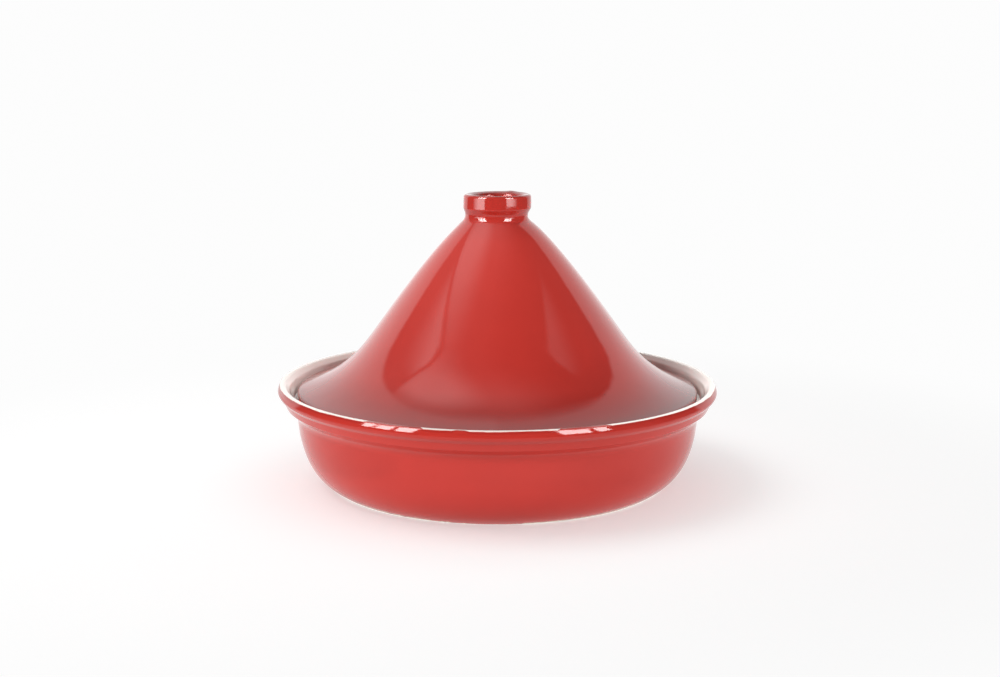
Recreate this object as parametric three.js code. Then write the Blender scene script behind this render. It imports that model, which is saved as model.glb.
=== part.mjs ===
// A two-piece glazed tagine: a shallow dish with a stepped collar, and a conical lid
// with a hollow knob that drops inside the collar and rests on a ledge.
// Millimetres and degrees, +Z up, the table at z = 0 and both pieces turned about the Z axis.

import * as THREE from "three";

// Dish: overall
const RIM_RADIUS = 140.6; // outermost radius of the whole object, at the lip
const DISH_HEIGHT = 64.5; // table to the top of the lip
const DISH_WALL = 6.6;
const DISH_FLOOR = 7;
const FLOOR_BLEND = 7; // height over which the floor turns up into the wall, inside

// Dish: foot ring
const FOOT_RADIUS = 107;
const FOOT_WIDTH = 9;
const FOOT_RECESS = 2; // the underside stands this far above the table
const FOOT_EDGE = 1; // height of the edge below the start of the wall
const FOOT_SPREAD = 1.6; // the wall starts this far outside the ring
const FOOT_ROUND = 0.6;

// Dish: outside of the wall, from the foot ring to the underside of the collar
const WALL_FOOT_SLOPE = 30;
const WALL_TOP_SLOPE = 86;
const WALL_FOOT_PULL = 0.28; // share of the chord that each end of the curve runs straight on for
const WALL_TOP_PULL = 0.5;

// Dish: collar of two bands with bevelled undersides, measured down from the top of the lip
const COLLAR_HEIGHT = 12.9; // down to the lower edge of the lower band
const COLLAR_FLARE = 4.9; // the lip stands out this far beyond that edge
const COLLAR_STEP = 6.7; // overhang of that edge beyond the wall
const COLLAR_BEVEL = 5.3; // height of the bevel from the wall to that edge
const COLLAR_ROUND = 0.7;
const BAND_DROP = 6.2; // down to the ridge under the upper band
const BAND_FLARE = 0.8; // the lip stands out this far beyond the ridge
const BAND_STEP = 2.2; // overhang of the ridge beyond the lower band
const BAND_BEVEL = 2.2; // height of the bevel from the lower band to the ridge
const LIP_FACE = 4; // upright face below the top of the lip
const LIP_WIDTH = 6.6;
const LIP_ROUND = 2.6;

// Dish: ledge inside the collar, where the lid rests
const LEDGE_DROP = 11.3; // down from the top of the lip
const RIM_FLARE = 3.4; // the inside of the collar leans out this much from the ledge to the lip
const LEDGE_ROUND = 1.2;

// Lid: how it sits in the dish
const SEAT_GAP = 0.3; // held open between the ledge and the lid
const LID_CLEARANCE = 2.5; // between the lid's edge and the inside of the collar, all round
const SEAT_WIDTH = 7;
const SEAT_STEP = 1.8; // the seat ring stands this far below the inside of the lid
const SEAT_ROUND = 1.6;

// Lid: cone, measured up from the seat
const LID_WALL = 6.2;
const CONE_HEIGHT = 116.1; // up to where the cone and the underside of the knob would meet
const SHOULDER_SLOPE = 40.6; // at the top of the cone
const CONE_SLOPE = 54.8; // at its steepest
const BRIM_SLOPE = 16.5; // at the edge
const FLARE_RADIUS = 79.7; // where the cone is steepest and starts to flare out to the brim
const FLARE_HEIGHT = 42.2;
const SHOULDER_PULL = 0.22; // shares of the chord, as for the wall of the dish
const CONE_PULL = 0.42;
const FLARE_PULL = 0.24;
const BRIM_PULL = 0.47;
const BRIM_ROUND = 2;
const DOME_RISE = 1.8; // the top of the inside, above the end of the sloping wall

// Lid: neck and knob
const NECK_RADIUS = 18.8; // where the cone and the underside of the knob would meet
const NECK_FILLET = 5;
const UNDERCUT_SLOPE = 65.4; // of the underside of the knob
const KNOB_BASE_RADIUS = 21.5;
const KNOB_RADIUS = 21.25; // at the top
const KNOB_BAND = 9.5;
const KNOB_BASE_ROUND = 0.7;
const KNOB_ROUND = 1.6;
const CUP_RADIUS = 15.4; // hollow in the top of the knob
const CUP_FLOOR_RADIUS = 13.2;
const CUP_DEPTH = 13;
const CUP_ROUND = 1.4;
const CUP_FLOOR_ROUND = 5;

// Facets
const TURN_STEPS = 60;
const CURVE_STEPS = 7;
const BLEND_STEPS = 5;
const ARC_STEP = 32; // largest angle that one facet of a rounded corner spans

const RED_GLAZE = 0xc03a2f;

const radians = THREE.MathUtils.degToRad;

// A point of a profile, and how far its corner is rounded.
function corner(radius, height, round = 0) {
  return { point: new THREE.Vector2(radius, height), round };
}

function plainCorners(points) {
  return points.map((point) => ({ point, round: 0 }));
}

// Unit vectors that rise at a slope, away from the axis or towards it.
function risingOut(slope) {
  return new THREE.Vector2(Math.cos(radians(slope)), Math.sin(radians(slope)));
}

function risingIn(slope) {
  return new THREE.Vector2(-Math.cos(radians(slope)), Math.sin(radians(slope)));
}

// Points of the arc that rounds one corner, tangent to both of its sides.
function roundedCorner(before, { point, round }, after) {
  const back = before.clone().sub(point);
  const on = after.clone().sub(point);
  const longestReach = 0.5 * Math.min(back.length(), on.length());
  const halfAngle = back.angleTo(on) / 2;
  const reach = Math.min(round / Math.tan(halfAngle), longestReach);
  const start = back.setLength(reach).add(point);
  const end = on.setLength(reach).add(point);
  const toCentre = start.clone().add(end).multiplyScalar(0.5).sub(point);
  const centre = toCentre.setLength(reach / Math.cos(halfAngle)).add(point);
  const sweep = end.clone().sub(centre).angle() - start.clone().sub(centre).angle();
  const turn = Math.atan2(Math.sin(sweep), Math.cos(sweep));
  const steps = Math.max(1, Math.ceil(Math.abs(turn) / radians(ARC_STEP)));
  const points = [];
  for (let step = 0; step <= steps; step += 1) {
    points.push(start.clone().rotateAround(centre, (turn * step) / steps));
  }
  return points;
}

// The profile with its corners rounded, as a list of points.
function outline(corners) {
  return corners.flatMap((entry, index) => {
    if (entry.round === 0) {
      return [entry.point];
    }
    return roundedCorner(corners[index - 1].point, entry, corners[index + 1].point);
  });
}

// A curve that leaves one point and reaches another along the given directions.
function slopedCurve(start, startDirection, startPull, end, endDirection, endPull) {
  const chord = start.distanceTo(end);
  return new THREE.CubicBezierCurve(
    start,
    start.clone().addScaledVector(startDirection, startPull * chord),
    end.clone().addScaledVector(endDirection, -endPull * chord),
    end,
  );
}

// Points along a curve, moved to its left by the given distance.
function shiftedPoints(curve, distance) {
  const points = [];
  for (let step = 0; step <= CURVE_STEPS; step += 1) {
    const tangent = curve.getTangent(step / CURVE_STEPS);
    const left = new THREE.Vector2(-tangent.y, tangent.x);
    points.push(curve.getPoint(step / CURVE_STEPS).addScaledVector(left, distance));
  }
  return points;
}

// Points that bend from the level of a flat surface into the first stretch of a rising line.
function flatBlend(flatHeight, line) {
  const rise = line[0].y - flatHeight;
  const along = line[1].clone().sub(line[0]);
  const knee = new THREE.Vector2(line[0].x - (along.x * rise) / along.y, flatHeight);
  const reach = knee.distanceTo(line[0]);
  const start = new THREE.Vector2(knee.x - reach, flatHeight);
  return new THREE.QuadraticBezierCurve(start, knee, line[0]).getPoints(BLEND_STEPS).slice(0, -1);
}

// A solid turned about Z from a profile that starts and ends on the axis.
function turned(name, profile, colour) {
  const geometry = new THREE.LatheGeometry(profile, TURN_STEPS).rotateX(Math.PI / 2);
  const material = new THREE.MeshStandardMaterial({ color: colour, roughness: 0.15, metalness: 0 });
  const mesh = new THREE.Mesh(geometry, material);
  mesh.name = name;
  return mesh;
}

const collarRadius = RIM_RADIUS - COLLAR_FLARE;
const wallRadius = collarRadius - COLLAR_STEP;
const ledgeHeight = DISH_HEIGHT - LEDGE_DROP;
const ledgeRadius = RIM_RADIUS - LIP_WIDTH - RIM_FLARE;

function footCorners() {
  const ringInside = FOOT_RADIUS - FOOT_WIDTH;
  return [
    corner(0, FOOT_RECESS),
    corner(ringInside - FOOT_RECESS, FOOT_RECESS, FOOT_ROUND),
    corner(ringInside, 0, FOOT_ROUND),
    corner(FOOT_RADIUS, 0, FOOT_ROUND),
  ];
}

function collarCorners() {
  const collarBase = DISH_HEIGHT - COLLAR_HEIGHT;
  const ridge = DISH_HEIGHT - BAND_DROP;
  const lipBase = DISH_HEIGHT - LIP_FACE;
  const ridgeRadius = RIM_RADIUS - BAND_FLARE;
  return [
    corner(collarRadius, collarBase, COLLAR_ROUND),
    corner(ridgeRadius - BAND_STEP, ridge - BAND_BEVEL),
    corner(ridgeRadius, ridge, COLLAR_ROUND),
    corner(RIM_RADIUS, lipBase, LIP_ROUND),
    corner(RIM_RADIUS, DISH_HEIGHT, LIP_ROUND),
    corner(RIM_RADIUS - LIP_WIDTH, DISH_HEIGHT, LIP_ROUND),
    corner(ledgeRadius, ledgeHeight, LEDGE_ROUND),
  ];
}

function dishProfile() {
  const wallStart = new THREE.Vector2(FOOT_RADIUS + FOOT_SPREAD, FOOT_EDGE);
  const wallEnd = new THREE.Vector2(wallRadius, DISH_HEIGHT - COLLAR_HEIGHT - COLLAR_BEVEL);
  const wall = slopedCurve(
    wallStart, risingOut(WALL_FOOT_SLOPE), WALL_FOOT_PULL,
    wallEnd, risingOut(WALL_TOP_SLOPE), WALL_TOP_PULL,
  );
  const floorHeight = FOOT_RECESS + DISH_FLOOR;
  const insideWall = shiftedPoints(wall, DISH_WALL).filter((point) => point.y > floorHeight + FLOOR_BLEND);
  const ledgeEdge = insideWall.at(-1).x;
  return outline([
    ...footCorners(),
    ...plainCorners(wall.getPoints(CURVE_STEPS)),
    ...collarCorners(),
    corner(ledgeEdge, ledgeHeight, LEDGE_ROUND),
    ...plainCorners([...flatBlend(floorHeight, insideWall), ...insideWall].reverse()),
    corner(0, floorHeight),
  ]);
}

// The distance from a corner between two slopes to where the arc that rounds it starts.
function filletReach(round, slope, otherSlope) {
  return round * Math.tan(radians((180 - slope - otherSlope) / 2));
}

const neckReach = filletReach(NECK_FILLET, SHOULDER_SLOPE, UNDERCUT_SLOPE);

// Outside of the cone, from the brim up to the fillet of the neck.
function coneCurves(lidRadius, brimHeight) {
  const brimReach = filletReach(BRIM_ROUND, BRIM_SLOPE, 90);
  const brimWay = risingIn(BRIM_SLOPE);
  const flareWay = risingIn(CONE_SLOPE);
  const shoulderWay = risingIn(SHOULDER_SLOPE);
  const brim = new THREE.Vector2(lidRadius, brimHeight).addScaledVector(brimWay, brimReach);
  const flare = new THREE.Vector2(FLARE_RADIUS, FLARE_HEIGHT);
  const shoulder = new THREE.Vector2(NECK_RADIUS, CONE_HEIGHT).addScaledVector(shoulderWay, -neckReach);
  return [
    slopedCurve(brim, brimWay, BRIM_PULL, flare, flareWay, FLARE_PULL),
    slopedCurve(flare, flareWay, CONE_PULL, shoulder, shoulderWay, SHOULDER_PULL),
  ];
}

// Arc between the top of the cone and the underside of the knob.
function neckFillet() {
  const meeting = corner(NECK_RADIUS, CONE_HEIGHT, NECK_FILLET);
  const below = meeting.point.clone().addScaledVector(risingIn(SHOULDER_SLOPE), -2 * neckReach);
  const above = meeting.point.clone().addScaledVector(risingOut(UNDERCUT_SLOPE), 2 * neckReach);
  return roundedCorner(below, meeting, above);
}

function knobCorners() {
  const base = CONE_HEIGHT + (KNOB_BASE_RADIUS - NECK_RADIUS) * Math.tan(radians(UNDERCUT_SLOPE));
  const top = base + KNOB_BAND;
  return [
    corner(KNOB_BASE_RADIUS, base, KNOB_BASE_ROUND),
    corner(KNOB_RADIUS, top, KNOB_ROUND),
    corner(CUP_RADIUS, top, CUP_ROUND),
    corner(CUP_FLOOR_RADIUS, top - CUP_DEPTH, CUP_FLOOR_ROUND),
    corner(0, top - CUP_DEPTH),
  ];
}

function lidProfile() {
  const lidRadius = ledgeRadius - LID_CLEARANCE;
  const seatInside = lidRadius - SEAT_WIDTH;
  const brimHeight =
    SEAT_STEP + LID_WALL / Math.cos(radians(BRIM_SLOPE)) - SEAT_WIDTH * Math.tan(radians(BRIM_SLOPE));
  const [brimCurve, coneCurve] = coneCurves(lidRadius, brimHeight);
  const outside = [...brimCurve.getPoints(CURVE_STEPS), ...coneCurve.getPoints(CURVE_STEPS).slice(1)];
  const inside = [...shiftedPoints(brimCurve, LID_WALL), ...shiftedPoints(coneCurve, LID_WALL).slice(1)]
    .filter((point) => point.x < seatInside - SEAT_STEP);
  const shoulderInside = inside.at(-1);
  const domeTop = shoulderInside.y + DOME_RISE;
  const domeKnee = new THREE.Vector2(
    shoulderInside.x - DOME_RISE / Math.tan(radians(SHOULDER_SLOPE)),
    domeTop,
  );
  const dome = new THREE.QuadraticBezierCurve(new THREE.Vector2(0, domeTop), domeKnee, shoulderInside);
  return outline([
    ...plainCorners(dome.getPoints(BLEND_STEPS).slice(0, -1)),
    ...plainCorners(inside.reverse()),
    corner(seatInside, 0, SEAT_ROUND),
    corner(lidRadius, 0, SEAT_ROUND),
    corner(lidRadius, brimHeight, BRIM_ROUND),
    ...plainCorners(outside.slice(1, -1)),
    ...plainCorners(neckFillet()),
    ...knobCorners(),
  ]);
}

const dish = turned("dish", dishProfile(), RED_GLAZE);

const lid = turned("lid", lidProfile(), RED_GLAZE);
lid.position.z = ledgeHeight + SEAT_GAP;

const tagine = new THREE.Group();
tagine.name = "tagine";
tagine.add(dish, lid);

export default tagine;
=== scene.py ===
"""Looks of a two-piece glazed tagine: fine turned shapes, glazes, a photo studio and the photo's camera.

Profiles are in millimetres and degrees, as (radius, height) points; everything in Blender is in metres.
An azimuth of 0 is towards the camera, and azimuths grow to the viewer's right.
"""

import math
from typing import NamedTuple

import bpy
import numpy as np
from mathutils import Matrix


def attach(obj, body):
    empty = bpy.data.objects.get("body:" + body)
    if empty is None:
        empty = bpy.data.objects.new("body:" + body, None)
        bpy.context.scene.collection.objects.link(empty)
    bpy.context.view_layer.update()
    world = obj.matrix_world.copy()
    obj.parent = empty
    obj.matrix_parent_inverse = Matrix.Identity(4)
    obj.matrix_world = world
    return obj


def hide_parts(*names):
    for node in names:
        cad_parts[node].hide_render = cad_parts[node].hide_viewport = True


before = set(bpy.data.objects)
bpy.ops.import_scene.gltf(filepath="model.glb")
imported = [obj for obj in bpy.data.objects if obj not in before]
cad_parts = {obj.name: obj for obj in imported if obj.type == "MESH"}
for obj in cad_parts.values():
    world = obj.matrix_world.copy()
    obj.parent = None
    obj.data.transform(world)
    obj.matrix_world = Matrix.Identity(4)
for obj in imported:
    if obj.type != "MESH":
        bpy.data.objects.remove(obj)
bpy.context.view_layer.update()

METRES = 0.001  # metres in a millimetre

# Dish: overall
RIM_RADIUS = 140.6
DISH_HEIGHT = 64.5
DISH_WALL = 6.6
DISH_FLOOR = 7.0
FLOOR_BLEND = 7.0  # height over which the floor turns up into the wall, inside

# Dish: foot ring
FOOT_RADIUS = 107.0
FOOT_WIDTH = 9.0
FOOT_RECESS = 2.0  # how far the underside lies above the ring
FOOT_EDGE = 1.0  # height at which the wall starts
FOOT_SPREAD = 1.6  # how far the start of the wall stands out from the ring
FOOT_ROUND = 0.6

# Dish: outside of the wall, from the foot ring to the underside of the collar
WALL_FOOT_SLOPE = 30.0
WALL_TOP_SLOPE = 86.0
WALL_FOOT_PULL = 0.28  # share of the chord that each end of the curve runs straight on for
WALL_TOP_PULL = 0.5
WALL_TOP_ROUND = 12.0  # hollow between the wall and the underside of the collar
WALL_TOP_REACH = 12.0  # the wall's curve ends this far below the collar, which leaves room for the hollow

# Dish: collar of two bands with bevelled undersides, measured down from the top of the lip
COLLAR_HEIGHT = 12.9
COLLAR_FLARE = 4.9  # from the lower band out to the rim
COLLAR_STEP = 6.7  # from the wall out to the lower band
COLLAR_BEVEL = 5.3
COLLAR_ROUND = 0.7
BAND_DROP = 6.2
BAND_FLARE = 0.8  # from the ridge under the lip out to the rim
BAND_STEP = 2.2
BAND_BEVEL = 2.2
RIDGE_ROUND = 0.45
POOL_ROUND = 1.2  # glaze that fills the corner between the bands

# Dish: lip, with an outer face that leans in, a narrow top and a rounded inner side
LIP_WIDTH = 6.6
LIP_FOOT = 4.9  # drop of the foot of the outer face
LIP_FOOT_INSET = 0.15
LIP_FOOT_SLOPE = 75.0
LIP_FOOT_PULL = 0.2
LIP_LEAN = 1.3
LIP_TOP_SLOPE = 64.0
LIP_TOP_PULL = 0.55
LIP_EDGE_DROP = 0.35
LIP_EDGE_ROUND = 0.6
LIP_EDGE_ROOM = 3  # points of the outer face that are left out, so that its edge has room to be rounded
LIP_TOP_WIDTH = 3.2
LIP_BEVEL = 3.4  # drop of the inner side
LIP_BEVEL_ROUND = 3.0

# Dish: ledge inside the collar, where the lid rests
LEDGE_DROP = 11.3
RIM_FLARE = 3.4  # how far the inside of the collar opens from the ledge up
LEDGE_ROUND = 1.2

# Lid: how it sits in the dish
SEAT_GAP = 0.3
LID_CLEARANCE = 2.5
SEAT_WIDTH = 7.0
SEAT_STEP = 1.8
SEAT_ROUND = 1.6

# Lid: cone, measured up from the seat
LID_WALL = 6.2
CONE_HEIGHT = 116.1  # up to where the cone and the underside of the knob would meet
SHOULDER_SLOPE = 40.6
CONE_SLOPE = 54.8
BRIM_SLOPE = 16.5
FLARE_RADIUS = 79.7  # where the cone turns into the flare
FLARE_HEIGHT = 42.2
SHOULDER_PULL = 0.22
CONE_PULL = 0.42
FLARE_PULL = 0.24
BRIM_PULL = 0.47
FLARE_EASE = 6.0  # length over which the cone's bend turns into the flare's
FLARE_EASE_ZONE = 12.0  # how far to either side the easing acts
BRIM_ROUND = 2.0
DOME_RISE = 1.8  # of the closed top inside the cone

# Lid: neck and knob
NECK_RADIUS = 18.8  # where the cone and the underside of the knob would meet
NECK_FILLET = 5.0
UNDERCUT_SLOPE = 65.4  # of the underside of the knob
KNOB_BASE_RADIUS = 21.5
KNOB_RADIUS = 21.25
KNOB_BAND = 9.5
KNOB_BASE_ROUND = 2.2
KNOB_BULGE = 0.2
KNOB_BULGE_ROUND = 45.0
KNOB_ROUND = 1.8
CUP_RADIUS = 15.4
CUP_FLOOR_RADIUS = 13.2
CUP_DEPTH = 13.0
CUP_DROP = 1.5  # fall of the rim from its outer edge to the cup
CUP_ROUND = 3.0
CUP_FLOOR_ROUND = 5.0

# Small faults of hand-made ware; a wave is its depth, how often it goes round, and its phase in radians
TILT = 0.0047  # drop of the rim towards the right, for each unit across
TILT_END = 120.0  # the cone is upright from this height on
LIP_DIP = 0.125
LIP_WAVES = ((0.075, 3, 0.6), (0.05, 7, 2.0))
NECK_SHIFT = -0.6  # of the neck towards the right
NECK_SHIFT_REACH = NECK_FILLET / math.sqrt(2.0)  # up and down from the neck
KNOB_RIM_DIP = 0.36
KNOB_RIM_WAVES = ((0.2, 1, 0.0), (0.1, 2, 0.8 + 0.5 * math.pi))
KNOB_LUMP = math.radians(64.0)  # place of a lump of glaze on the rim of the knob
KNOB_LUMP_WIDTH = 0.17 / math.sqrt(2.0)  # radians

# Facets
TURN_STEPS = 240
CURVE_STEPS = 40
BLEND_STEPS = 14
ARC_STEP = 11.0
SUPPORT = 0.25  # a point is set this far before and after each rounded corner, so that shading stays true

# Sizes that follow from those above
LIP_EDGE = np.array((RIM_RADIUS - LIP_LEAN, DISH_HEIGHT - LIP_EDGE_DROP))
COLLAR_RADIUS = RIM_RADIUS - COLLAR_FLARE
WALL_RADIUS = COLLAR_RADIUS - COLLAR_STEP
LEDGE_HEIGHT = DISH_HEIGHT - LEDGE_DROP
LEDGE_RADIUS = RIM_RADIUS - LIP_WIDTH - RIM_FLARE
LID_RADIUS = LEDGE_RADIUS - LID_CLEARANCE
LID_BASE = LEDGE_HEIGHT + SEAT_GAP
UNDERCUT_HEIGHT = (KNOB_BASE_RADIUS - NECK_RADIUS) * math.tan(math.radians(UNDERCUT_SLOPE))
KNOB_BASE_HEIGHT = LID_BASE + CONE_HEIGHT + UNDERCUT_HEIGHT
KNOB_TOP = KNOB_BASE_HEIGHT + KNOB_BAND

# Colours
# The red's two ends: dark for thick glaze and for painted shade, light for thin glaze and for painted light
RED_DARK = (0.35, 0.019, 0.013, 1.0)
RED_LIGHT = (0.65, 0.045, 0.032, 1.0)
RED_SPECK = (0.26, 0.018, 0.014, 1.0)
CREAM = (0.87, 0.81, 0.76, 1.0)
CREAM_SHADE = (0.82, 0.755, 0.70, 1.0)
CREAM_EDGE = (0.80, 0.64, 0.56, 1.0)
CREAM_SPECK = (0.80, 0.68, 0.57, 1.0)
CLAY_DARK = (0.74, 0.63, 0.53, 1.0)
CLAY_LIGHT = (0.92, 0.82, 0.72, 1.0)
WHITE = (1.0, 1.0, 1.0, 1.0)
TABLE_WHITE = (0.55, 0.55, 0.55, 1.0)  # under the table's own lamps
TABLE_BOUNCE = (0.29, 0.29, 0.29, 1.0)  # as it lights the object

# Gloss and relief, with heights in metres
DISH_IOR = 1.4
LID_IOR = 1.5
GLAZE_ROUGHNESS = (0.045, 0.085)
CUP_ROUGHNESS = 0.4
CLAY_ROUGHNESS = 0.85
CUP_BLEND = 0.002  # metres over which the gloss is lost at the edge of the cup
SHEEN_RANGE = (0.3, 0.7)
RIPPLE_HEIGHT = 0.00007
PEEL_HEIGHT = 0.000003

# Random patterns: scale in each metre, detail, roughness
NOISE_MEAN = 0.5
EDGE_NOISE = (60.0, 4.0, 0.6)
RED_NOISE = (22.0, 5.0, 0.6)
CREAM_NOISE = (30.0, 4.0, 0.6)
CLAY_NOISE = (900.0, 3.0, 0.7)
SHEEN_NOISE = (40.0, 3.0, 0.5)
RIPPLE_NOISE = (75.0, 2.0, 0.4)
PEEL_NOISE = (600.0, 2.0, 0.5)
# Specks: cells in each metre, share of the cells that have a speck, its size in cells
RED_SPECKS = (95.0, 0.1, 0.07)
CREAM_SPECKS = (130.0, 0.08, 0.06)

# Edges of the coats, in metres
EDGE_WANDER = 0.0012
EDGE_SOFTNESS = 0.0002
BEAD_SHADE_REACH = 0.0012  # to either side of the red's edge to the cream, where the red is painted darker as shade, as under the dish's lip
BEAD_SHADE_SOFTNESS = 0.0006
# Places where the red glaze has run over its edge: from and to an azimuth in degrees, and how far in metres
LIP_RUNS = ((-33.0, -18.0, 0.0022), (-10.0, -7.0, 0.0012), (14.7, 27.5, 0.0022))
FOOT_RUNS = ((-37.0, -35.5, 0.001), (-31.5, -30.0, 0.001), (-21.5, -18.0, 0.001), (-15.0, 8.0, 0.0014))
NO_RUNS = ()
RUN_SOFTNESS = 0.012  # radians

# Thinness of the red glaze, which also holds painted light and shade: 0 thick and dark, 1 thin and light
RED_DRIFT = 0.3
EDGE_BEAD_SHADE = 0.45  # how much darker the red is along its edge to the cream: painted shade, as under the dish's lip, given as a thicker coat
# Glaze thinner and lighter on edges and pooled darker in hollow corners, which also paints highlights on
# edges and shade in corners
EDGE_THINNING_AND_SHADING = 0.1
BEND_REACH = 0.8  # mm to either side of an edge or corner over which the coat is thinner and lighter or thicker and darker, with painted highlight and shade
# Height in mm, and how thin the glaze is there after running down, with painted light and shade in the
# numbers
# On the lid the red is painted lighter towards the top, where more light falls, and darker on the brim and
# in the undercut under the knob, where shade falls
LID_THINNESS_AND_LIGHT = (
    (66.0, 0.0), (76.0, 0.3), (105.0, 0.45), (157.0, 0.75), (165.0, 0.6),
    (169.0, 0.37), (174.5, 0.05), (176.0, 0.3),
)
# On the dish the red is painted darker towards the lip, as shade under the lip's overhang
DISH_THINNESS_AND_SHADE = ((5.0, 0.4), (50.0, 0.47), (58.0, 0.44), (61.0, 0.25), (64.0, 0.12))

# Camera, fitted to the photo
CAMERA_PLACE = (0.001634, -1.01017, 0.27967)
CAMERA_PITCH = 10.572  # degrees below level
CAMERA_LENS = 57.6
SENSOR_WIDTH = 36.0

# Table and background
BACKGROUND = 0.98
TABLE_WIDTH = 1.2
TABLE_FRONT = 0.5
TABLE_BACK = 1.5
TABLE_LIFT = 0.55  # light of its own that brings the table up to white
TABLE_FADE = (0.24, 0.5)  # distances over which the table turns as white as the background

# Studio dome; a place is an azimuth and an elevation, and other pairs say where a change starts and ends
STUDIO_RADIUS = 3.0
STUDIO_STEP = 0.75
STUDIO_LOWEST = -21.0
STUDIO_SPREAD = 0.1  # share of the studio's brightness that lights the object
ROOM = 0.16
CEILING = 0.36
CEILING_RISE = (58.0, 90.0)
SOFT_LIGHT = 1.4
SOFT_LIGHT_PLACE = (-92.0, 63.0)
SOFT_LIGHT_FADE = (6.0, 27.0)
SOFT_LIGHT_EDGE = (50.6, 51.6)
HALO = 0.26
HALO_FADE = (18.0, 50.0)
LEFT_GLOW_SIDES = ((-107.0, -79.0), (-68.0, -52.0))
LEFT_GLOW_RISE = (22.0, 46.0)
LEFT_GLOW_CREST = 0.45
LEFT_GLOW_CREST_RISE = (43.0, 49.0)
LEFT_GLOW_EDGE = (49.0, 49.8)
RIGHT_GLOW = 0.6
RIGHT_GLOW_SIDES = ((40.0, 56.0), (72.0, 98.0))
RIGHT_GLOW_RISE = (35.0, 51.0)
RIGHT_GLOW_EDGE = (51.2, 52.2)
TENT = 1.26
TENT_PLACE = (180.0, 10.0)
TENT_SIZE = 59.0
TENT_SOFTNESS = 2.0
TENT_TOP_SOFTNESS = 8.0  # added towards the top
TENT_TOP = (48.0, 66.0)
TENT_RIGHT_LOSS = 0.21
TENT_RIGHT_FADE = (20.0, 58.0)

# Lamps: name, azimuth, elevation, width, height, power
LAMP_DISTANCE = 1.4
LAMP_AIM = 0.12  # height on the axis that lamps face
LID_LAMPS = (
    ("lid_left_lamp", -75.0, 20.0, 0.60, 0.50, 14.0),
    ("lid_front_left_lamp", -50.0, 1.0, 0.60, 0.50, 8.0),
    ("lid_front_lamp", 25.0, 15.0, 0.60, 0.80, 6.5),
    ("lid_right_lamp", 54.0, 1.0, 0.70, 0.50, 13.0),
    ("lid_back_lamp", 180.0, 15.0, 1.20, 0.80, 12.0),
)
DISH_LAMPS = (
    ("dish_left_lamp", -70.0, 8.0, 0.60, 0.80, 4.2),
    ("dish_front_lamp", -15.0, -3.0, 0.60, 1.20, 0.7),
    ("dish_right_lamp", 75.0, 7.0, 0.60, 0.80, 8.7),
    ("dish_high_left_lamp", -45.0, 27.0, 0.60, 0.60, 18.0),
    ("dish_high_right_lamp", 40.0, 27.0, 0.60, 0.60, 9.7),
    ("dish_low_lamp", -10.0, -70.0, 0.90, 0.90, 14.5),
    ("dish_high_back_lamp", 155.0, 36.0, 0.60, 0.60, 9.3),
    ("dish_back_lamp", 180.0, 15.0, 1.20, 0.80, 8.2),
)
TABLE_LAMPS = (
    ("table_left_lamp", -85.0, 55.0, 0.90, 0.90, 8.0),
    ("table_top_lamp", 180.0, 86.0, 2.40, 2.40, 18.5),
)

# Panels that show in reflections only: name, azimuth, width, brightness of the left and the right side
WINDOW_ELEVATION = 27.0
WINDOW_HEIGHT = 0.80
WINDOWS = (
    ("left_window_1", -66.4, 0.14, 23.0, 23.0),
    ("left_window_2", -57.3, 0.19, 23.0, 23.0),
    ("left_window_3", -46.0, 0.21, 23.0, 23.0),
    ("right_window_1", 39.0, 0.36, 21.0, 21.0),
    ("right_window_2", 53.5, 0.17, 21.0, 21.0),
)
CARD_ELEVATION = 0.0
CARD_HEIGHT = 0.07
CARD_DISTANCE = 0.26
CARD_AIM = 0.1765
KNOB_CARDS = (
    ("left_card", -53.1, 0.105, 6.5, 6.5),
    ("left_card_wing", -75.5, 0.103, 0.0, 6.5),
    ("right_card", 39.0, 0.086, 6.5, 6.5),
    ("right_card_wing", 58.5, 0.092, 6.5, 0.0),
)


def smooth_step(value, low, high):
    """Rises smoothly from 0 at low to 1 at high."""
    share = np.clip((value - low) / (high - low), 0.0, 1.0)
    return share * share * (3.0 - 2.0 * share)


def falling(value, low, high):
    """Falls smoothly from 1 at low to 0 at high."""
    return 1.0 - smooth_step(value, low, high)


def bell(value, reach):
    """1 at 0, and less the further a value lies from it."""
    return np.exp(-0.5 * (value / reach) ** 2)


def waves(angle, rows):
    return sum(depth * np.sin(count * angle + phase) for depth, count, phase in rows)


def unit(vector):
    return vector / np.linalg.norm(vector)


def rising_out(slope):
    """Direction in a profile that rises away from the axis."""
    return np.array((math.cos(math.radians(slope)), math.sin(math.radians(slope))))


def rising_in(slope):
    """Direction in a profile that rises towards the axis."""
    return np.array((-math.cos(math.radians(slope)), math.sin(math.radians(slope))))


def corner(radius, height, rounding=0.0):
    return np.array((radius, height)), rounding


def plain_corners(points):
    return [(point, 0.0) for point in points]


def rounded_corner(before, point, rounding, after):
    """Points of the arc that rounds one corner, with a support point on each side of it."""
    back, on = before - point, after - point
    room = 0.5 * min(np.linalg.norm(back), np.linalg.norm(on))
    back, on = unit(back), unit(on)
    half_angle = 0.5 * math.acos(np.clip(back @ on, -1.0, 1.0))
    reach = min(rounding / math.tan(half_angle), room)
    radius = reach * math.tan(half_angle)
    centre = point + unit(back + on) * reach / math.cos(half_angle)
    start = (point + back * reach - centre) / radius
    end = (point + on * reach - centre) / radius
    sweep = math.acos(np.clip(start @ end, -1.0, 1.0))
    steps = max(2, math.ceil(math.degrees(sweep) / ARC_STEP))
    side = unit(end - start * (start @ end))
    angles = np.linspace(0.0, sweep, steps + 1)[:, None]
    arc = centre + radius * (np.cos(angles) * start + np.sin(angles) * side)
    support = min(SUPPORT, 0.5 * (room - reach))
    if support <= 0.0:
        return arc
    return np.vstack([arc[0] + back * support, arc, arc[-1] + on * support])


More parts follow.
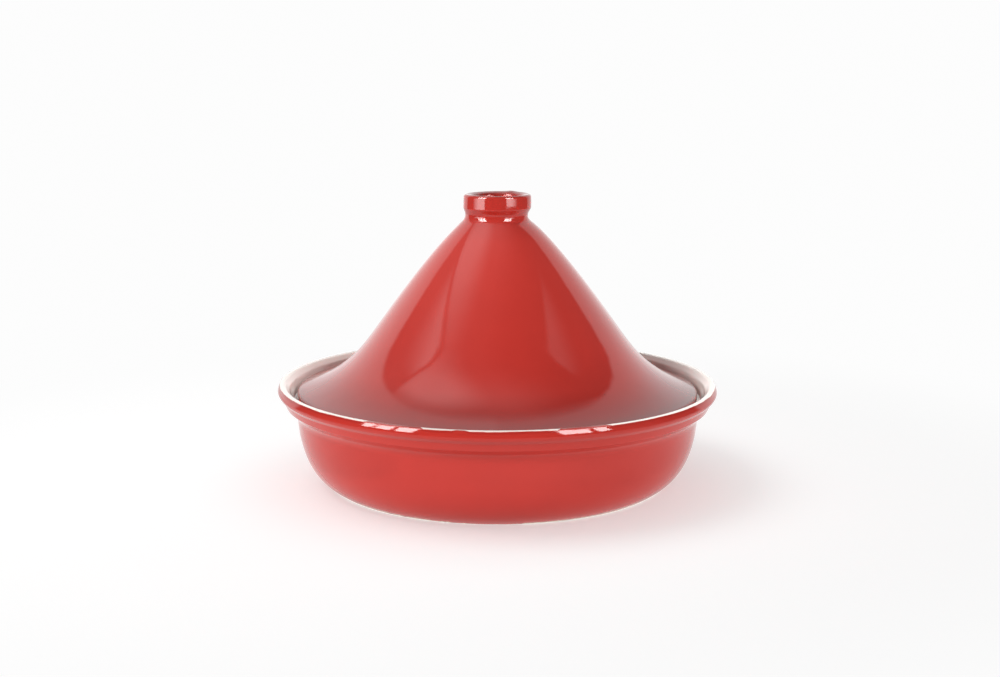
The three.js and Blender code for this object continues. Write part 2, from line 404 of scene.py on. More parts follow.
def outline(corners):
    """The profile with its corners rounded, as an array of points."""
    points = []
    for index, (point, rounding) in enumerate(corners):
        if rounding == 0.0:
            points.append(point[None])
        else:
            points.append(rounded_corner(corners[index - 1][0], point, rounding, corners[index + 1][0]))
    return np.vstack(points)


def sloped_curve(start, start_way, start_pull, end, end_way, end_pull):
    """Control points of a curve that leaves one point and reaches another along the given directions."""
    chord = np.linalg.norm(end - start)
    return np.array((start, start + start_way * start_pull * chord, end - end_way * end_pull * chord, end))


def curve_points(controls, steps):
    """Points along a Bezier curve with any number of control points."""
    share = np.linspace(0.0, 1.0, steps + 1)[:, None]
    degree = len(controls) - 1
    return sum(
        math.comb(degree, power) * share**power * (1.0 - share) ** (degree - power) * control
        for power, control in enumerate(controls)
    )


def shifted_points(controls, distance, steps):
    """Points along a curve, moved to its left by the given distance."""
    degree = len(controls) - 1
    tangents = curve_points(degree * np.diff(controls, axis=0), steps)
    left = np.stack([-tangents[:, 1], tangents[:, 0]], axis=1)
    return curve_points(controls, steps) + distance * left / np.linalg.norm(left, axis=1)[:, None]


def flat_blend(flat_height, line):
    """Points that bend from the level of a flat surface into the first stretch of a rising line."""
    along = line[1] - line[0]
    knee = np.array((line[0][0] - along[0] * (line[0][1] - flat_height) / along[1], flat_height))
    start = knee - np.array((np.linalg.norm(knee - line[0]), 0.0))
    return curve_points(np.array((start, knee, line[0])), BLEND_STEPS)[:-1]


def lengths_along(profile):
    steps = np.linalg.norm(np.diff(profile, axis=0), axis=1)
    return np.concatenate([[0.0], np.cumsum(steps)])


def length_at(profile, point):
    """Length in metres along the profile to the place nearest to a point."""
    nearest = np.argmin(np.linalg.norm(profile - np.array(point), axis=1))
    return METRES * lengths_along(profile)[nearest]


def eased(points, middle):
    """The line with the change of bend at one of its points spread out to both sides."""
    along = lengths_along(points)
    near = bell(along[:, None] - along[None], FLARE_EASE) * np.gradient(along)
    mean = near @ points / near.sum(axis=1)[:, None]
    share = bell(along - along[middle], FLARE_EASE_ZONE)[:, None]
    return points + share * (mean - points)


def foot_corners():
    ring_inside = FOOT_RADIUS - FOOT_WIDTH
    return [
        corner(0.0, FOOT_RECESS),
        corner(ring_inside - FOOT_RECESS, FOOT_RECESS, FOOT_ROUND),
        corner(ring_inside, 0.0, FOOT_ROUND),
        corner(FOOT_RADIUS, 0.0, FOOT_ROUND),
    ]


def lip_corners():
    foot = np.array((RIM_RADIUS - LIP_FOOT_INSET, DISH_HEIGHT - LIP_FOOT))
    face = sloped_curve(
        foot, rising_out(LIP_FOOT_SLOPE), LIP_FOOT_PULL,
        LIP_EDGE, rising_in(LIP_TOP_SLOPE), LIP_TOP_PULL,
    )
    inner_radius = RIM_RADIUS - LIP_WIDTH - RIM_FLARE * LIP_BEVEL / LEDGE_DROP
    return [
        *plain_corners(curve_points(face, BLEND_STEPS)[:-LIP_EDGE_ROOM]),
        (LIP_EDGE, LIP_EDGE_ROUND),
        corner(LIP_EDGE[0] - LIP_TOP_WIDTH, DISH_HEIGHT, LIP_BEVEL_ROUND),
        corner(inner_radius, DISH_HEIGHT - LIP_BEVEL, LIP_BEVEL_ROUND),
    ]


def collar_corners():
    ridge = DISH_HEIGHT - BAND_DROP
    ridge_radius = RIM_RADIUS - BAND_FLARE
    return [
        corner(COLLAR_RADIUS, DISH_HEIGHT - COLLAR_HEIGHT, COLLAR_ROUND),
        corner(ridge_radius - BAND_STEP, ridge - BAND_BEVEL, POOL_ROUND),
        corner(ridge_radius, ridge, RIDGE_ROUND),
        *lip_corners(),
        corner(LEDGE_RADIUS, LEDGE_HEIGHT, LEDGE_ROUND),
    ]


def dish_profile():
    """From the axis under the floor, round the foot, wall, collar and lip, to the axis inside."""
    wall_start = np.array((FOOT_RADIUS + FOOT_SPREAD, FOOT_EDGE))
    wall_end = np.array((WALL_RADIUS, DISH_HEIGHT - COLLAR_HEIGHT - COLLAR_BEVEL))
    wall = sloped_curve(
        wall_start, rising_out(WALL_FOOT_SLOPE), WALL_FOOT_PULL,
        wall_end, rising_out(WALL_TOP_SLOPE), WALL_TOP_PULL,
    )
    outside = curve_points(wall, CURVE_STEPS)
    outside = outside[outside[:, 1] < wall_end[1] - WALL_TOP_REACH]
    floor_height = FOOT_RECESS + DISH_FLOOR
    inside = shifted_points(wall, DISH_WALL, CURVE_STEPS)
    inside = inside[inside[:, 1] > floor_height + FLOOR_BLEND]
    return outline([
        *foot_corners(),
        *plain_corners(outside),
        (wall_end, WALL_TOP_ROUND),
        *collar_corners(),
        corner(inside[-1][0], LEDGE_HEIGHT, LEDGE_ROUND),
        *plain_corners(np.vstack([flat_blend(floor_height, inside), inside])[::-1]),
        corner(0.0, floor_height),
    ])


def fillet_reach(rounding, slope, other_slope):
    """From a corner between two slopes to the start of the arc that rounds it."""
    return rounding * math.tan(math.radians((180.0 - slope - other_slope) / 2))


def cone_curves(brim_height):
    """Outside of the cone, from the brim up to the fillet under the neck."""
    brim_way = rising_in(BRIM_SLOPE)
    flare_way = rising_in(CONE_SLOPE)
    shoulder_way = rising_in(SHOULDER_SLOPE)
    brim = np.array((LID_RADIUS, brim_height)) + brim_way * fillet_reach(BRIM_ROUND, BRIM_SLOPE, 90.0)
    flare = np.array((FLARE_RADIUS, FLARE_HEIGHT))
    neck_reach = fillet_reach(NECK_FILLET, SHOULDER_SLOPE, UNDERCUT_SLOPE)
    shoulder = np.array((NECK_RADIUS, CONE_HEIGHT)) - shoulder_way * neck_reach
    return (
        sloped_curve(brim, brim_way, BRIM_PULL, flare, flare_way, FLARE_PULL),
        sloped_curve(flare, flare_way, CONE_PULL, shoulder, shoulder_way, SHOULDER_PULL),
    )


def neck_fillet():
    """Arc between the top of the cone and the underside of the knob."""
    reach = fillet_reach(NECK_FILLET, SHOULDER_SLOPE, UNDERCUT_SLOPE)
    meeting = np.array((NECK_RADIUS, CONE_HEIGHT))
    below = meeting - 2 * reach * rising_in(SHOULDER_SLOPE)
    above = meeting + 2 * reach * rising_out(UNDERCUT_SLOPE)
    return rounded_corner(below, meeting, NECK_FILLET, above)


def knob_corners():
    base = KNOB_BASE_HEIGHT - LID_BASE
    top = KNOB_TOP - LID_BASE
    middle_radius = 0.5 * (KNOB_BASE_RADIUS + KNOB_RADIUS) + KNOB_BULGE
    return [
        corner(KNOB_BASE_RADIUS, base, KNOB_BASE_ROUND),
        corner(middle_radius, 0.5 * (base + top), KNOB_BULGE_ROUND),
        corner(KNOB_RADIUS, top, KNOB_ROUND),
        corner(CUP_RADIUS, top - CUP_DROP, CUP_ROUND),
        corner(CUP_FLOOR_RADIUS, top - CUP_DEPTH, CUP_FLOOR_ROUND),
        corner(0.0, top - CUP_DEPTH),
    ]


def dome_points(wall_top):
    """The closed top inside the cone, from the axis to the top of the inner wall."""
    knee = wall_top + rising_in(SHOULDER_SLOPE) * DOME_RISE / math.sin(math.radians(SHOULDER_SLOPE))
    middle = (0.0, wall_top[1] + DOME_RISE)
    return curve_points(np.array((middle, knee, wall_top)), BLEND_STEPS)[:-1]


def lid_profile():
    """From the axis inside, down to the seat, round the brim, up the cone and knob, into the cup."""
    brim_slope = math.radians(BRIM_SLOPE)
    brim_height = SEAT_STEP + LID_WALL / math.cos(brim_slope) - SEAT_WIDTH * math.tan(brim_slope)
    seat_inside = LID_RADIUS - SEAT_WIDTH
    brim, cone = cone_curves(brim_height)
    outside = np.vstack([curve_points(brim, CURVE_STEPS), curve_points(cone, CURVE_STEPS)[1:]])
    inside = np.vstack([
        shifted_points(brim, LID_WALL, CURVE_STEPS),
        shifted_points(cone, LID_WALL, CURVE_STEPS)[1:],
    ])
    inside = inside[inside[:, 0] < seat_inside - SEAT_STEP]
    profile = outline([
        *plain_corners(dome_points(inside[-1])),
        *plain_corners(inside[::-1]),
        corner(seat_inside, 0.0, SEAT_ROUND),
        corner(LID_RADIUS, 0.0, SEAT_ROUND),
        corner(LID_RADIUS, brim_height, BRIM_ROUND),
        *plain_corners(eased(outside, CURVE_STEPS)[1:-1]),
        *plain_corners(neck_fillet()),
        *knob_corners(),
    ])
    return profile + np.array((0.0, LID_BASE))


def tilted(radius, height, angle):
    """Heights with the rim, and the brim of the lid on it, a little lower on the right."""
    share = smooth_step(height, 0.0, LEDGE_HEIGHT) * falling(height, LEDGE_HEIGHT, TILT_END)
    return height - TILT * share * radius * np.cos(angle)


def dish_irregular(radius, height, angle):
    """A lip that is not quite level."""
    near_lip = np.clip((height - LEDGE_HEIGHT) / LEDGE_DROP, 0.0, 1.0)
    dip = LIP_DIP + waves(angle, LIP_WAVES)
    return radius, tilted(radius, height, angle) - near_lip * dip


def lid_irregular(radius, height, angle):
    """A neck that is a little off centre, and a knob with an uneven rim."""
    neck = bell(height - LID_BASE - CONE_HEIGHT, NECK_SHIFT_REACH)
    knob = smooth_step(height, KNOB_BASE_HEIGHT, KNOB_TOP)
    from_lump = np.remainder(angle - KNOB_LUMP + math.pi, 2 * math.pi) - math.pi
    dip = (KNOB_RIM_DIP + waves(angle, KNOB_RIM_WAVES)) * (1.0 - bell(from_lump, KNOB_LUMP_WIDTH))
    return radius + NECK_SHIFT * neck * np.cos(angle), tilted(radius, height, angle) - knob * dip


def bend_along(profile):
    """How far the profile turns near each point: above 0 on edges, below 0 in hollow corners."""
    ways = np.diff(profile, axis=0)
    headings = np.unwrap(np.arctan2(ways[:, 1], ways[:, 0]))
    turns = np.concatenate([[0.0], np.diff(headings), [0.0]])
    along = lengths_along(profile)
    return bell(along[:, None] - along[None], BEND_REACH) @ turns


def glaze_thinness_and_light(profile, by_height_and_light):
    """From 0 for a thick, dark coat to 1 for a thin, light one: by height, with painted light and shade,
    and thin on edges and pooled in corners, which also paints highlights on edges and shade in corners.
    """
    thinness_and_light = np.interp(profile[:, 1], *np.transpose(by_height_and_light))
    return thinness_and_light + EDGE_THINNING_AND_SHADING * np.tanh(bend_along(profile))


def neighbours(count):
    """Each place on a ring of points with the one that follows it."""
    return [(here, (here + 1) % count) for here in range(count)]


def ring_quads(first, rings, count):
    """Quads between neighbouring rings of points, of which the first starts at the given index."""
    faces = []
    for low in range(first, first + (rings - 1) * count, count):
        high = low + count
        faces += [(low + here, low + after, high + after, high + here) for here, after in neighbours(count)]
    return faces


def turned_faces(rings):
    """Quads between rings, closed by fans on the first and last point, which lie on the axis."""
    last = 1 + rings * TURN_STEPS
    top = last - TURN_STEPS
    return [
        *((0, 1 + after, 1 + here) for here, after in neighbours(TURN_STEPS)),
        *ring_quads(1, rings, TURN_STEPS),
        *((last, top + here, top + after) for here, after in neighbours(TURN_STEPS)),
    ]


def turned_points(profile, irregular):
    """The profile turned about Z in metres, with one point for each of its ends."""
    rings = profile[1:-1]
    radius = np.repeat(rings[:, 0], TURN_STEPS)
    height = np.repeat(rings[:, 1], TURN_STEPS)
    angle = np.tile(np.linspace(0.0, 2 * math.pi, TURN_STEPS, endpoint=False), len(rings))
    radius, height = irregular(radius, height, angle)
    body = np.stack([radius * np.cos(angle), radius * np.sin(angle), height], axis=1)
    start = (0.0, 0.0, profile[0][1])
    end = (0.0, 0.0, profile[-1][1])
    return METRES * np.vstack([start, body, end])


def add_values(mesh, name, values):
    """Keeps a value at each point of a mesh."""
    attribute = mesh.attributes.new(name, "FLOAT", "POINT")
    attribute.data.foreach_set("value", values.astype(np.float32))


def for_each_point(ring_values):
    """Values of the profile's points, repeated for all points that were turned from them."""
    return np.concatenate([ring_values[:1], np.repeat(ring_values[1:-1], TURN_STEPS), ring_values[-1:]])


def add_bake_map(mesh, along_share):
    """Unwraps a turned mesh: across by the angle, up by the length along the profile."""
    layer = mesh.uv_layers.new(name="OFBake")
    for polygon in mesh.polygons:
        middle = polygon.center
        face_angle = math.atan2(middle.y, middle.x)
        for loop in polygon.loop_indices:
            vertex = mesh.loops[loop].vertex_index
            place = mesh.vertices[vertex].co
            angle = math.atan2(place.y, place.x) if place.x or place.y else face_angle
            turn = math.remainder(angle - face_angle, 2 * math.pi)
            layer.data[loop].uv = (0.5 + (face_angle + turn) / (2 * math.pi), along_share[vertex])


def add_object(name, data):
    made = bpy.data.objects.new(name, data)
    bpy.context.scene.collection.objects.link(made)
    return made


def turned_piece(name, profile, irregular, thinness_and_light_by_height):
    """A turned mesh that keeps the length along the profile, and the glaze's thinness with its painted
    light and shade, at each point.
    """
    mesh = bpy.data.meshes.new(name)
    mesh.from_pydata(turned_points(profile, irregular).tolist(), [], turned_faces(len(profile) - 2))
    mesh.shade_smooth()
    along = for_each_point(METRES * lengths_along(profile))
    add_values(mesh, "thinness_and_light", for_each_point(glaze_thinness_and_light(profile, thinness_and_light_by_height)))
    add_values(mesh, "along", along)
    add_bake_map(mesh, along / along[-1])
    return add_object(name, mesh)


def add_node(tree, kind, inputs=None, **settings):
    """A new node with its settings, and its inputs set to values or linked to other nodes' outputs."""
    made = tree.nodes.new(kind)
    for name, value in settings.items():
        setattr(made, name, value)
    for name, value in (inputs or {}).items():
        if isinstance(value, bpy.types.NodeSocket):
            tree.links.new(value, made.inputs[name])
        else:
            made.inputs[name].default_value = value
    return made


def calculate(tree, operation, first, second=0.0):
    return add_node(tree, "ShaderNodeMath", {0: first, 1: second}, operation=operation).outputs[0]


def ramp(tree, value, low, high):
    """Rises smoothly from 0 at low to 1 at high, also where high is below low."""
    inputs = {"Value": value, "From Min": low, "From Max": high}
    return add_node(tree, "ShaderNodeMapRange", inputs, interpolation_type="SMOOTHSTEP").outputs[0]


def zone(tree, value, low, high, softness):
    """1 between two values, 0 outside them."""
    return calculate(
        tree, "MULTIPLY",
        ramp(tree, value, low - softness, low + softness),
        ramp(tree, value, high + softness, high - softness),
    )


def kept_value(tree, name):
    """The value that a mesh keeps at each point under a name."""
    return add_node(tree, "ShaderNodeAttribute", attribute_name=name).outputs["Fac"]


def noise(tree, coordinates, scale, detail, roughness):
    inputs = {"Vector": coordinates, "Scale": scale, "Detail": detail, "Roughness": roughness}
    return add_node(tree, "ShaderNodeTexNoise", inputs).outputs["Fac"]


def shifted_by_noise(tree, value, coordinates, pattern, reach):
    """A value that is moved up and down by a random pattern."""
    drift = calculate(tree, "SUBTRACT", noise(tree, coordinates, *pattern), NOISE_MEAN)
    return calculate(tree, "ADD", value, calculate(tree, "MULTIPLY", drift, reach))


def specks(tree, coordinates, scale, kept, size):
    """Round specks in some cells of a random pattern: 1 in a speck, 0 elsewhere."""
    cells = add_node(tree, "ShaderNodeTexVoronoi", {"Vector": coordinates, "Scale": scale}).outputs
    cell_draw = add_node(tree, "ShaderNodeSeparateColor", {"Color": cells["Color"]}).outputs["Red"]
    chosen = calculate(tree, "LESS_THAN", cell_draw, kept)
    return calculate(tree, "MULTIPLY", chosen, ramp(tree, cells["Distance"], size, 0.5 * size))


def blend_colour(tree, share, first, second):
    """From the first colour to the second; 6, 7 and 2 are the node's colour sockets."""
    return add_node(tree, "ShaderNodeMix", {0: share, 6: first, 7: second}, data_type="RGBA").outputs[2]


def blend_value(tree, share, first, second):
    return add_node(tree, "ShaderNodeMix", {0: share, 2: first, 3: second}, data_type="FLOAT").outputs[0]


def new_material(name):
    material = bpy.data.materials.new(name)
    material.use_nodes = True
    material.node_tree.nodes.clear()
    return material, material.node_tree


class Coats(NamedTuple):
    """Where the coats of a piece lie, in metres along its profile, and where the red has run over."""

    clay_from: float
    clay_to: float
    cream_edge: float
    cream_beyond: bool  # whether the cream lies after its edge
    matt_from: float
    cream_runs: tuple
    clay_runs: tuple


def moved_by_runs(tree, coordinates, length, runs, way):
    """The length along the profile, shifted where the red glaze has run over its edge."""
    if not runs:
        return length
    place = add_node(tree, "ShaderNodeSeparateXYZ", {"Vector": coordinates}).outputs
    azimuth = calculate(tree, "ARCTAN2", place["X"], calculate(tree, "MULTIPLY", place["Y"], -1.0))
    for start, end, reach in runs:
        share = zone(tree, azimuth, math.radians(start), math.radians(end), RUN_SOFTNESS)
        length = calculate(tree, "ADD", length, calculate(tree, "MULTIPLY", share, way * reach))
    return length


def red_glaze(tree, coordinates, length, cream_edge):
    """Red that is deep where the coat is thick and light where it is thin, both also painted light and
    shade, darker along its edge to the cream as painted shade, and with a few dark specks.
    """
    thinness_and_light = shifted_by_noise(tree, kept_value(tree, "thinness_and_light"), coordinates, RED_NOISE, RED_DRIFT)
    # Painted shade: darker red in a band along the edge to the cream, as under the dish's lip
    edge_shade = zone(tree, length, cream_edge - BEAD_SHADE_REACH, cream_edge + BEAD_SHADE_REACH, BEAD_SHADE_SOFTNESS)
    thinness_and_light = calculate(tree, "SUBTRACT", thinness_and_light, calculate(tree, "MULTIPLY", edge_shade, EDGE_BEAD_SHADE))
    red = blend_colour(tree, thinness_and_light, RED_DARK, RED_LIGHT)
    return blend_colour(tree, specks(tree, coordinates, *RED_SPECKS), red, RED_SPECK)


def cream_glaze(tree, coordinates, length, cream_edge):
    """Cream that is warmer where it thins out at its edge, with faint clouds and tan specks."""
    cream = blend_colour(tree, noise(tree, coordinates, *CREAM_NOISE), CREAM_SHADE, CREAM)
    cream = blend_colour(tree, specks(tree, coordinates, *CREAM_SPECKS), cream, CREAM_SPECK)
    thin = zone(tree, length, cream_edge - EDGE_SOFTNESS, cream_edge + EDGE_SOFTNESS, EDGE_SOFTNESS)
    return blend_colour(tree, thin, cream, CREAM_EDGE)


def bare_clay(tree, coordinates):
    return blend_colour(tree, noise(tree, coordinates, *CLAY_NOISE), CLAY_DARK, CLAY_LIGHT)


def both_glazes(tree, coordinates, length, coats):
    """Red on one side of an edge along the profile, and cream on the other."""
    length = moved_by_runs(tree, coordinates, length, coats.cream_runs, -1.0)
    soft = EDGE_SOFTNESS if coats.cream_beyond else -EDGE_SOFTNESS
    return blend_colour(
        tree,
        ramp(tree, length, coats.cream_edge - soft, coats.cream_edge + soft),
        red_glaze(tree, coordinates, length, coats.cream_edge),
        cream_glaze(tree, coordinates, length, coats.cream_edge),
    )


def glaze_gloss(tree, coordinates, along, matt_from):
    """A roughness that drifts a little, and that is higher from some length along the profile on."""
    sheen = ramp(tree, noise(tree, coordinates, *SHEEN_NOISE), *SHEEN_RANGE)
    gloss = blend_value(tree, sheen, *GLAZE_ROUGHNESS)
    return blend_value(tree, ramp(tree, along, matt_from, matt_from + CUP_BLEND), gloss, CUP_ROUGHNESS)


def glaze_relief(tree, coordinates):
    """Slow ripples of a poured glaze with a fine orange peel on them."""
    ripple = add_node(tree, "ShaderNodeBump", {
        "Strength": 1.0,
        "Distance": RIPPLE_HEIGHT,
        "Height": noise(tree, coordinates, *RIPPLE_NOISE),
    })
    return add_node(tree, "ShaderNodeBump", {
        "Strength": 1.0,
        "Distance": PEEL_HEIGHT,
        "Height": noise(tree, coordinates, *PEEL_NOISE),
        "Normal": ripple.outputs["Normal"],
    }).outputs["Normal"]


def glaze_material(name, ior, coats):
    """Red and cream glazes, with bare clay between two lengths along the profile."""
    material, tree = new_material(name)
    coordinates = add_node(tree, "ShaderNodeTexCoord").outputs["Object"]
    along = kept_value(tree, "along")
    ragged = shifted_by_noise(tree, along, coordinates, EDGE_NOISE, EDGE_WANDER)
    clay_length = moved_by_runs(tree, coordinates, ragged, coats.clay_runs, 1.0)
    clay = zone(tree, clay_length, coats.clay_from, coats.clay_to, EDGE_SOFTNESS)
    glaze = both_glazes(tree, coordinates, ragged, coats)
    gloss = glaze_gloss(tree, coordinates, along, coats.matt_from)
    shader = add_node(tree, "ShaderNodeBsdfPrincipled", {
        "Base Color": blend_colour(tree, clay, glaze, bare_clay(tree, coordinates)),
        "Roughness": blend_value(tree, clay, gloss, CLAY_ROUGHNESS),
        "IOR": ior,
        "Normal": glaze_relief(tree, coordinates),
    })
    add_node(tree, "ShaderNodeOutputMaterial", {"Surface": shader.outputs[0]})
    return material


def dress(piece, node, material):
    piece.data.materials.append(material)
    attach(piece, node)
    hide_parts(node)
    return piece


def make_dish():
    profile = dish_profile()
    coats = Coats(
        clay_from=length_at(profile, (FOOT_RADIUS - FOOT_WIDTH, 0.0)),
        clay_to=length_at(profile, (FOOT_RADIUS + FOOT_SPREAD, FOOT_EDGE)),
        cream_edge=length_at(profile, LIP_EDGE),
        cream_beyond=True,
        matt_from=length_at(profile, profile[-1]),
        cream_runs=LIP_RUNS,
        clay_runs=FOOT_RUNS,
    )
    piece = turned_piece("glazed_dish", profile, dish_irregular, DISH_THINNESS_AND_SHADE)
    return dress(piece, "dish", glaze_material("dish_glazes", DISH_IOR, coats))


def make_lid():
    profile = lid_profile()
    seat_inside = length_at(profile, (LID_RADIUS - SEAT_WIDTH, LID_BASE))
    coats = Coats(
        clay_from=seat_inside,
        clay_to=length_at(profile, (LID_RADIUS, LID_BASE)),
        cream_edge=seat_inside,
        cream_beyond=False,
        matt_from=length_at(profile, (CUP_RADIUS, KNOB_TOP - CUP_DROP)),
        cream_runs=NO_RUNS,
        clay_runs=NO_RUNS,
    )
    piece = turned_piece("glazed_lid", profile, lid_irregular, LID_THINNESS_AND_LIGHT)
    return dress(piece, "lid", glaze_material("lid_glazes", LID_IOR, coats))


def direction(azimuth, elevation):
    """Unit vectors from the object towards an azimuth and elevation."""
    turn, rise = np.radians(azimuth), np.radians(elevation)
    return np.stack([np.sin(turn) * np.cos(rise), -np.cos(turn) * np.cos(rise), np.sin(rise)], axis=-1)


def degrees_from(way, place):
    return np.degrees(np.arccos(np.clip(way @ direction(*place), -1.0, 1.0)))


def between(value, rise, fall):
    return smooth_step(value, *rise) * falling(value, *fall)


def soft_light(way, elevation):
    """A soft light at the upper left with a sharp lower edge, and the halo around it."""
    distance = degrees_from(way, SOFT_LIGHT_PLACE)
    light = SOFT_LIGHT * falling(distance, *SOFT_LIGHT_FADE) * smooth_step(elevation, *SOFT_LIGHT_EDGE)
    return light + HALO * falling(distance, *HALO_FADE)


def left_glow(azimuth, elevation):
    """A glow below the soft light, brightest along its upper edge."""
    crest = 1.0 + LEFT_GLOW_CREST * smooth_step(elevation, *LEFT_GLOW_CREST_RISE)
    return between(azimuth, *LEFT_GLOW_SIDES) * between(elevation, LEFT_GLOW_RISE, LEFT_GLOW_EDGE) * crest


def right_glow(azimuth, elevation):
    sides = between(azimuth, *RIGHT_GLOW_SIDES)
    return RIGHT_GLOW * sides * between(elevation, RIGHT_GLOW_RISE, RIGHT_GLOW_EDGE)


def white_tent(way, azimuth, elevation):
    """Share of each direction that the tent behind the object fills, and its brightness there."""
    distance = degrees_from(way, TENT_PLACE)
    softness = TENT_SOFTNESS + TENT_TOP_SOFTNESS * smooth_step(elevation, *TENT_TOP)
    share = falling(distance, TENT_SIZE - softness, TENT_SIZE + softness)
    loss = TENT_RIGHT_LOSS * smooth_step(distance, *TENT_RIGHT_FADE) * (azimuth > 0.0)
    return share, TENT - loss


def studio_brightness(way):
    """Brightness in each direction from the object: lights in a dim room, and a white tent behind."""
    azimuth = np.degrees(np.arctan2(way[:, 0], -way[:, 1]))
    elevation = np.degrees(np.arcsin(np.clip(way[:, 2], -1.0, 1.0)))
    room = ROOM + CEILING * smooth_step(elevation, *CEILING_RISE)
    glows = left_glow(azimuth, elevation) + right_glow(azimuth, elevation)
    share, tent = white_tent(way, azimuth, elevation)
    return (room + soft_light(way, elevation) + glows) * (1.0 - share) + tent * share


def glow_material():
    """Light of the brightness that a mesh keeps at its points; matt surfaces get only a share of it."""
    material, tree = new_material("studio_light")
    on_matt = add_node(tree, "ShaderNodeLightPath").outputs["Is Diffuse Ray"]
    share = calculate(tree, "SUBTRACT", 1.0, calculate(tree, "MULTIPLY", on_matt, 1.0 - STUDIO_SPREAD))
    strength = calculate(tree, "MULTIPLY", kept_value(tree, "brightness"), share)
    light = add_node(tree, "ShaderNodeEmission", {"Strength": strength})
    add_node(tree, "ShaderNodeOutputMaterial", {"Surface": light.outputs[0]})
    material.cycles.emission_sampling = "NONE"
    return material


def make_studio(material):
    """A dome that shows in reflections and lights the object, and that the camera doesn't see."""
    azimuths = np.arange(-180.0, 180.0, STUDIO_STEP)
    elevations = np.arange(STUDIO_LOWEST, 90.0, STUDIO_STEP)
    count, rings = len(azimuths), len(elevations)
    sides = direction(np.tile(azimuths, rings), np.repeat(elevations, count))
    way = np.vstack([sides, (0.0, 0.0, 1.0)])
    top = (rings - 1) * count
    fan = [(top + here, top + after, rings * count) for here, after in neighbours(count)]
    mesh = bpy.data.meshes.new("studio")
    mesh.from_pydata((STUDIO_RADIUS * way).tolist(), [], ring_quads(0, rings, count) + fan)
    add_values(mesh, "brightness", studio_brightness(way))
    mesh.materials.append(material)
    studio = add_object("studio", mesh)
    studio.visible_camera = False


def face_object(light, azimuth, elevation, distance, aim):
    """Places a lamp or panel so that it faces a point at the given height on the axis."""
    light.location = distance * direction(azimuth, elevation) + np.array((0.0, 0.0, aim))
    light.rotation_euler = (math.radians(90.0 - elevation), 0.0, math.radians(azimuth))


def make_panel(material, name, width, height, left, right):
    """A panel that shows in reflections only, with a brightness for its left and its right side."""
    bpy.ops.mesh.primitive_plane_add(size=1.0)
    panel = bpy.context.object
    panel.name = name
    panel.scale = (width, height, 1.0)
    brightness = [left if vertex.co.x < 0.0 else right for vertex in panel.data.vertices]
    add_values(panel.data, "brightness", np.array(brightness))
    panel.data.materials.append(material)
    panel.visible_camera = False
    panel.visible_diffuse = False
    panel.visible_shadow = False
    return panel


def make_panels(material):
    """Windows, which show on the lip and the neck, and cards, which show on the knob."""
    for name, azimuth, width, left, right in WINDOWS:
        window = make_panel(material, name, width, WINDOW_HEIGHT, left, right)
        face_object(window, azimuth, WINDOW_ELEVATION, LAMP_DISTANCE, LAMP_AIM)
    for name, azimuth, width, left, right in KNOB_CARDS:
        card = make_panel(material, name, width, CARD_HEIGHT, left, right)
        face_object(card, azimuth, CARD_ELEVATION, CARD_DISTANCE, CARD_AIM)


def table_material():
    """White that fades into the background far off, and that is dimmer where it lights the object."""
    material, tree = new_material("white_table")
    place = add_node(tree, "ShaderNodeNewGeometry").outputs["Position"]
    distance = add_node(tree, "ShaderNodeVectorMath", {0: place}, operation="LENGTH").outputs["Value"]
    path = add_node(tree, "ShaderNodeLightPath").outputs
    seen = calculate(tree, "ADD", path["Is Camera Ray"], path["Is Glossy Ray"])
    seen = calculate(tree, "ADD", seen, path["Is Transmission Ray"])
    plain = add_node(tree, "ShaderNodeBsdfDiffuse", {"Color": TABLE_WHITE}).outputs[0]
    lift = add_node(tree, "ShaderNodeEmission", {"Strength": TABLE_LIFT}).outputs[0]
    near = add_node(tree, "ShaderNodeAddShader", {0: plain, 1: lift}).outputs[0]
    far = add_node(tree, "ShaderNodeEmission", {"Strength": BACKGROUND}).outputs[0]
    fade = ramp(tree, distance, *TABLE_FADE)
    shown = add_node(tree, "ShaderNodeMixShader", {0: fade, 1: near, 2: far}).outputs[0]
    bounce = add_node(tree, "ShaderNodeBsdfDiffuse", {"Color": TABLE_BOUNCE}).outputs[0]
    surface = add_node(tree, "ShaderNodeMixShader", {0: seen, 1: bounce, 2: shown}).outputs[0]
    add_node(tree, "ShaderNodeOutputMaterial", {"Surface": surface})
    return material


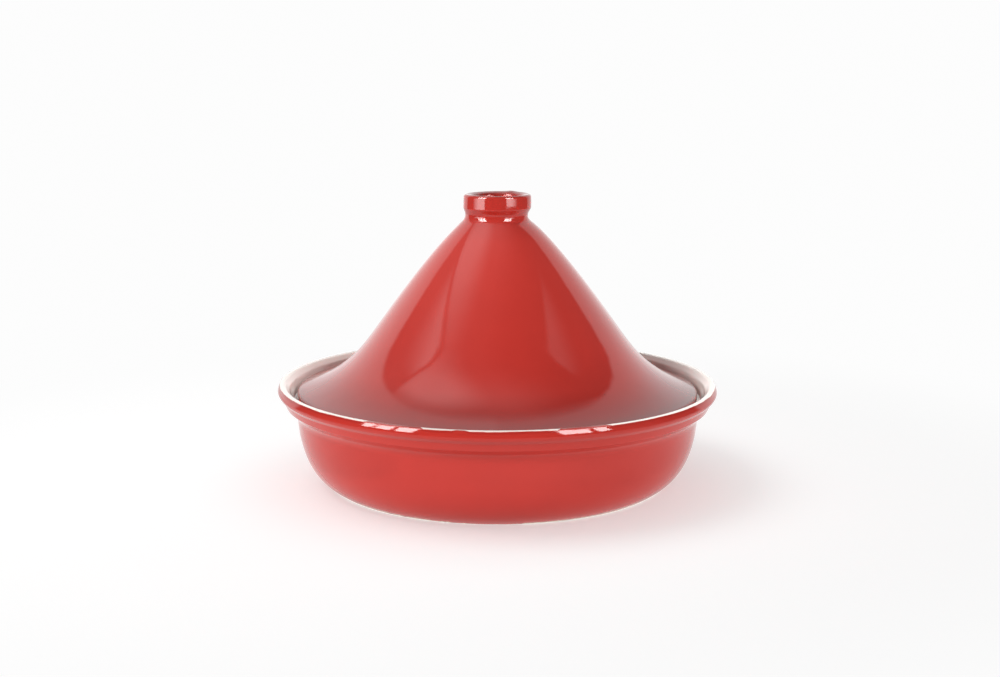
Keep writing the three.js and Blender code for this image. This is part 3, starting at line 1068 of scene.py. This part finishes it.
def make_table():
    """A table that keeps the object's shadow."""
    bpy.ops.mesh.primitive_plane_add(size=1.0)
    table = bpy.context.object
    table.name = "table"
    table.scale = (TABLE_WIDTH, TABLE_FRONT + TABLE_BACK, 1.0)
    table.location.y = 0.5 * (TABLE_BACK - TABLE_FRONT)
    table.data.materials.append(table_material())
    return table


def make_lamp(name, azimuth, elevation, width, height, power):
    """A soft box that faces the object and doesn't show in reflections."""
    data = bpy.data.lights.new(name, "AREA")
    data.shape = "RECTANGLE"
    data.size = width
    data.size_y = height
    data.energy = power
    lamp = add_object(name, data)
    face_object(lamp, azimuth, elevation, LAMP_DISTANCE, LAMP_AIM)
    lamp.visible_camera = False
    lamp.visible_glossy = False
    return lamp


def new_collection(name, members):
    collection = bpy.data.collections.new(name)
    for member in members:
        collection.objects.link(member)
    return collection


def make_lamps(dish, lid, table):
    """Lamps that each light only the lid, the dish or the table; both pieces throw shadows."""
    both = new_collection("both_pieces", [dish, lid])
    for rows, target in ((LID_LAMPS, lid), (DISH_LAMPS, dish), (TABLE_LAMPS, table)):
        lit = new_collection("only_" + target.name, [target])
        for row in rows:
            lamp = make_lamp(*row)
            lamp.light_linking.receiver_collection = lit
            lamp.light_linking.blocker_collection = both


def make_background():
    world = bpy.data.worlds.new("white")
    bpy.context.scene.world = world
    world.use_nodes = True
    tree = world.node_tree
    tree.nodes.clear()
    sky = add_node(tree, "ShaderNodeBackground", {"Color": WHITE, "Strength": BACKGROUND})
    add_node(tree, "ShaderNodeOutputWorld", {"Surface": sky.outputs[0]})


def make_camera():
    data = bpy.data.cameras.new("camera")
    data.lens = CAMERA_LENS
    data.sensor_fit = "HORIZONTAL"
    data.sensor_width = SENSOR_WIDTH
    camera = add_object("camera", data)
    camera.location = CAMERA_PLACE
    camera.rotation_euler = (math.radians(90.0 - CAMERA_PITCH), 0.0, 0.0)
    bpy.context.scene.camera = camera


make_camera()
glazed_dish = make_dish()
glazed_lid = make_lid()
glow = glow_material()
make_studio(glow)
make_panels(glow)
white_table = make_table()
make_lamps(glazed_dish, glazed_lid, white_table)
make_background()
bpy.context.scene.view_settings.view_transform = "Standard"
